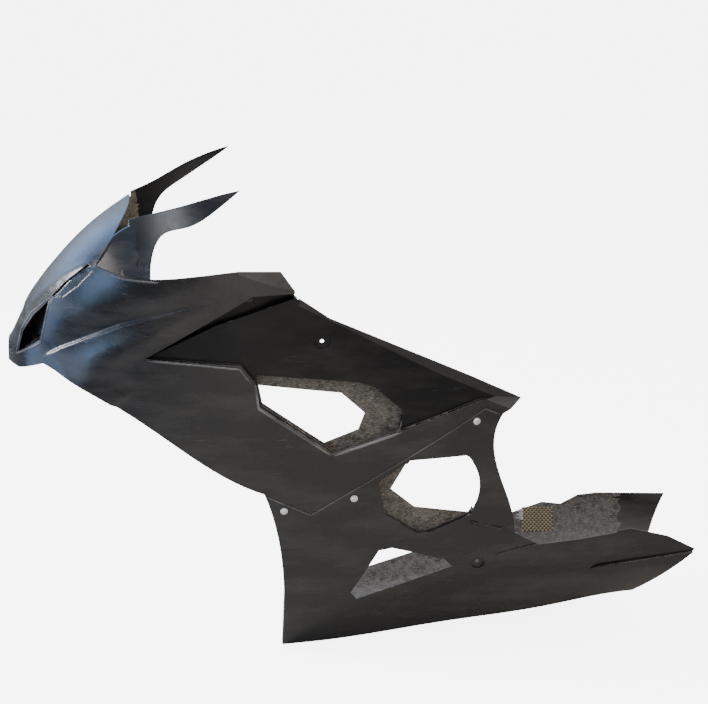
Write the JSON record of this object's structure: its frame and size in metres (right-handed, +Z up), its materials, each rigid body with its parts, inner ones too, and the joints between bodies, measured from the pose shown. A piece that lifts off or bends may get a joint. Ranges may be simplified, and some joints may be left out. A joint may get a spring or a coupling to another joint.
{
  "type": "motorcycle fairing",
  "caption": "Unpainted glassfibre race fairing: a nose with screen horns and a vented side panel, screwed along a seam to an open belly pan.",
  "frame": {"origin": "middle of the wall at the left side mount hole", "axes": "+X to the rear of the bike, +Y to its right side, +Z up"},
  "size_m": [1.216, 0.4652, 0.8453],
  "materials": {
    "gelcoat": "semi-gloss black gelcoat on glassfibre, raw resin inside",
    "zinc_steel": "bright zinc plate",
    "glass_cloth": "woven cloth set in resin"
  },
  "bodies": {
    "root": {"upper_fairing": "gelcoat", "belly_pan": "gelcoat", "seam_screws": "zinc_steel", "seam_washers": "zinc_steel", "seam_nuts": "zinc_steel", "woven_patch": "glass_cloth"}
  },
  "joints": []
}
